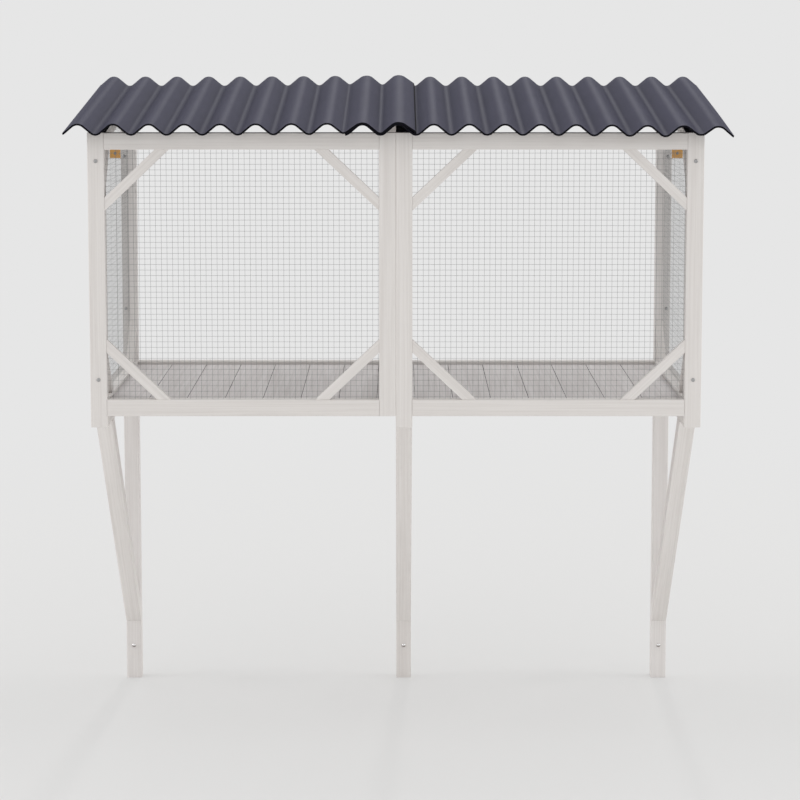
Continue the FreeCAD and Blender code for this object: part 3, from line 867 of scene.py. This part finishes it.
    def sag(self, sheet, sizes, start, columns):
        """Lets the sheet's front corner hang down beside the right post, with a lattice."""
        half = sizes.sheet_pitch / 2
        rows = self.SAG_ROWS
        low = min(v.co.y for v in sheet.data.vertices)
        high = max(v.co.y for v in sheet.data.vertices)
        post_low, post_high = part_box("front_post_right")
        right_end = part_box("roof_sheet_right")[1].x
        clear_selection()
        bpy.ops.object.add(type="LATTICE", location=(start + half * (columns - 1) / 2, (low + high) / 2, 0.0))
        cage = bpy.context.object
        cage.scale = (half * (columns - 1), high - low, 1.0)
        cage.data.points_u, cage.data.points_v, cage.data.points_w = columns, rows, 1
        cage.data.interpolation_type_u = "KEY_LINEAR"
        cage.data.interpolation_type_v = "KEY_BSPLINE"
        for number, point in enumerate(cage.data.points):
            x = start + half * (number % columns)
            if not post_low.x < x < post_high.x:
                outward = ramp(x, sizes.corner_start, right_end) ** self.SAG_ACROSS
                forward = (1.0 - (number // columns) / (rows - 1)) ** self.SAG_FORWARD
                point.co_deform.z -= sizes.corner_drop * outward * forward
        clear_selection()
        sheet.select_set(True)
        bpy.context.view_layer.objects.active = sheet
        shape = sheet.modifiers.new("shape", "LATTICE")
        shape.object = cage
        bpy.ops.object.modifier_apply(modifier=shape.name)
        bpy.data.lattices.remove(cage.data)


class CATIO_OT_brackets(bpy.types.Operator):
    """Plates the wall brackets and drives their screws"""

    bl_idname = "catio.brackets"
    bl_label = "Wall brackets"

    def execute(self, context):
        sizes = context.scene.catio_sizes
        colours = context.scene.catio_colours
        give(objects(named("wall_bracket")), metal_finish("brass_plate", colours.brass, 0.34, (0.05, 0.05, 1.0)))
        steel = metal_finish("steel_screw", colours.screw_steel, 0.38, (1.0, 1.0, 1.0))
        for node in named("wall_bracket"):
            low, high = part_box(node)
            side = "left" if "left" in node else "right"
            outward = -ACROSS if side == "left" else ACROSS
            wall_end, post_end = (low.x, high.x) if side == "left" else (high.x, low.x)
            height = (low.z + high.z) / 2
            wall_place = Vector((wall_end - outward.x * sizes.screw_inset, high.y - sizes.leaf, height))
            post_place = Vector((post_end + outward.x * sizes.leaf, low.y + sizes.screw_inset, height))
            for name, place, way in (("wall", wall_place, -DEEP), ("post", post_place, outward)):
                head = dome_head(
                    place, way, sizes.screw_head, sizes.screw_head_height, sizes.screw_head_rim, sizes.screw_socket
                )
                screw = shank(head, place, way, sizes.screw_shank / 2, sizes.leaf)
                settle(screw, f"{name}_screw_{side}")
                give([screw], steel)
        return {"FINISHED"}


class CATIO_OT_post_bolts(bpy.types.Operator):
    """Puts round-headed bolts on the front posts and the rear posts"""

    bl_idname = "catio.post_bolts"
    bl_label = "Post bolts"

    def execute(self, context):
        sizes = context.scene.catio_sizes
        steel = metal_finish("steel_bolt", context.scene.catio_colours.steel, 0.40, (1.0, 1.0, 1.0))
        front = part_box("front_post_left")[0]
        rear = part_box("leg_left")[0]
        posts = (
            (sizes.front_bolt_out, front.y, (sizes.front_bolt_low, sizes.front_bolt_high)),
            (sizes.rear_bolt_out, rear.y, (sizes.rear_bolt_low, sizes.rear_bolt_high)),
        )
        heads = []
        for side in (-1.0, 1.0):
            for out, face, heights in posts:
                for height in heights:
                    head = dome_head(
                        Vector((side * out, face, height)),
                        -DEEP,
                        sizes.post_head,
                        sizes.post_head_height,
                        sizes.post_head_rim,
                        sizes.post_socket,
                    )
                    heads.append(head)
        bolts = settle(joined(heads), "post_bolt_heads", ["post_bolts"])
        give([bolts], steel)
        return {"FINISHED"}


class CATIO_OT_wall_bolts(bpy.types.Operator):
    """Puts a domed wall bolt through each leg"""

    bl_idname = "catio.wall_bolts"
    bl_label = "Wall bolts"

    def execute(self, context):
        sizes = context.scene.catio_sizes
        chrome = chrome_finish(context.scene.catio_colours)
        for node in named("leg"):
            low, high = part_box(node)
            place = Vector(((low.x + high.x) / 2, low.y, 0.0))
            head = dome_head(place, -DEEP, sizes.wall_head, sizes.wall_head_height, sizes.wall_head_rim, 0.0)
            bolt = shank(head, place, -DEEP, sizes.wall_shank / 2, high.y - low.y - sizes.wall_shank_play)
            settle(bolt, node.replace("leg", "wall_bolt"))
            give([bolt], chrome)
        return {"FINISHED"}


class CATIO_OT_stage(bpy.types.Operator):
    """Sets the pale studio floor, the soft lamps and the camera of the photograph"""

    bl_idname = "catio.stage"
    bl_label = "Stage"

    LAMPS = (  # name, place, width and watts
        ("left_lamp", (-8.2, -0.4, 4.5), 3.5, 140.0),
        ("right_lamp", (8.2, -0.4, 4.5), 3.5, 140.0),
        ("back_lamp", (0.9, 18.6, 11.4), 1.0, 520.0),
    )
    LIT_POINT = (0.0, -0.4, 0.7)  # point in the cage that the lamps are aimed at
    SKY = 0.98  # strength of the even light from all round
    FLOOR_WIDTH = 24.0
    FLOOR_BOUNCE = (0.90, 0.90, 0.895)  # floor as the part is lit by it
    FLOOR_SEEN = (0.655, 0.652, 0.645)  # floor as the camera sees it, before it fades
    FLOOR_FADE = (1.0, 5.5, 0.34, 1.0)  # near and far distance, with the backdrop's share at each
    CAMERA_PLACE = (0.0097, -7.168, 1.5743)
    CAMERA_DIP = 7.45  # degrees below level
    CAMERA_LENS = 126.0
    CAMERA_SENSOR = 36.0

    def execute(self, context):
        studio = context.scene.catio_colours.studio
        self.world(context, studio)
        self.floor(studio)
        for name, place, width, watts in self.LAMPS:
            self.lamp(name, place, width, watts)
        camera = bpy.data.objects.new("camera", bpy.data.cameras.new("camera"))
        context.scene.collection.objects.link(camera)
        camera.location = self.CAMERA_PLACE
        camera.rotation_euler = (math.radians(90.0 - self.CAMERA_DIP), 0.0, 0.0)
        camera.data.lens = self.CAMERA_LENS
        camera.data.sensor_width = self.CAMERA_SENSOR
        context.scene.camera = camera
        context.scene.view_settings.view_transform = "Standard"
        return {"FINISHED"}

    def world(self, context, studio):
        """Even sky light, with the plain backdrop for what the camera and reflections see."""
        world = bpy.data.worlds.new("studio")
        context.scene.world = world
        world.use_nodes = True
        tree = world.node_tree
        tree.nodes.clear()
        seen = camera_rays(tree)
        sky = add(tree, "ShaderNodeBackground", {"Color": (1.0, 1.0, 1.0, 1.0), "Strength": self.SKY})
        backdrop = add(tree, "ShaderNodeBackground", {"Color": tone(studio), "Strength": 1.0})
        both = add(tree, "ShaderNodeMixShader", {0: seen, 1: sky.outputs[0], 2: backdrop.outputs[0]})
        add(tree, "ShaderNodeOutputWorld", {"Surface": both.outputs[0]})

    def floor(self, studio):
        """Floor that keeps a weak shadow near the legs and fades into the backdrop."""
        clear_selection()
        bpy.ops.mesh.primitive_plane_add(size=self.FLOOR_WIDTH, location=(0.0, 0.0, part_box("leg_left")[0].z))
        floor = bpy.context.object
        floor.name = "studio_floor"
        material = bpy.data.materials.new("studio_floor")
        material.use_nodes = True
        tree = material.node_tree
        tree.nodes.clear()
        place = add(tree, "ShaderNodeTexCoord").outputs["Object"]
        away = add(tree, "ShaderNodeVectorMath", {0: place}, operation="LENGTH").outputs["Value"]
        seen = camera_rays(tree)
        plain = ranged(tree, away, *self.FLOOR_FADE)
        shade = mixed(tree, seen, self.FLOOR_BOUNCE, self.FLOOR_SEEN)
        matt = add(tree, "ShaderNodeBsdfDiffuse", {"Color": shade})
        flat = add(tree, "ShaderNodeEmission", {"Color": tone(studio), "Strength": 1.0})
        factor = maths(tree, "MULTIPLY", seen, plain)
        both = add(tree, "ShaderNodeMixShader", {0: factor, 1: matt.outputs[0], 2: flat.outputs[0]})
        add(tree, "ShaderNodeOutputMaterial", {"Surface": both.outputs[0]})
        give([floor], material)

    def lamp(self, name, place, width, watts):
        """A square soft lamp aimed at the cage."""
        lamp = bpy.data.objects.new(name, bpy.data.lights.new(name, "AREA"))
        bpy.context.scene.collection.objects.link(lamp)
        lamp.location = place
        lamp.rotation_euler = (Vector(self.LIT_POINT) - Vector(place)).to_track_quat("-Z", "Y").to_euler()
        lamp.data.shape = "SQUARE"
        lamp.data.size = width
        lamp.data.energy = watts


class CATIO_PT_panel(bpy.types.Panel):
    """Lists the sizes, the colours and the steps of the catio"""

    bl_idname = "CATIO_PT_panel"
    bl_label = "Window Catio"
    bl_space_type = "VIEW_3D"
    bl_region_type = "UI"
    bl_category = "Catio"

    def draw(self, context):
        for group in (context.scene.catio_sizes, context.scene.catio_colours):
            box = self.layout.box()
            for name in group.__annotations__:
                box.prop(group, name)
        for step in STEPS:
            self.layout.operator(step.bl_idname)


STEPS = (
    CATIO_OT_timber,
    CATIO_OT_floor,
    CATIO_OT_mesh,
    CATIO_OT_roof,
    CATIO_OT_brackets,
    CATIO_OT_post_bolts,
    CATIO_OT_wall_bolts,
    CATIO_OT_stage,
)
CLASSES = (CatioSizes, CatioColours, *STEPS, CATIO_PT_panel)


def register():
    """Registers the classes and hangs the sizes and colours on the scene."""
    for item in CLASSES:
        bpy.utils.register_class(item)
    bpy.types.Scene.catio_sizes = PointerProperty(type=CatioSizes)
    bpy.types.Scene.catio_colours = PointerProperty(type=CatioColours)


def unregister():
    """Takes back what register did."""
    del bpy.types.Scene.catio_colours
    del bpy.types.Scene.catio_sizes
    for item in reversed(CLASSES):
        bpy.utils.unregister_class(item)


def main():
    """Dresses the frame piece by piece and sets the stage."""
    register()
    bpy.ops.catio.timber()
    bpy.ops.catio.floor()
    bpy.ops.catio.mesh()
    bpy.ops.catio.roof()
    bpy.ops.catio.brackets()
    bpy.ops.catio.post_bolts()
    bpy.ops.catio.wall_bolts()
    bpy.ops.catio.stage()


if __name__ == "__main__":
    main()
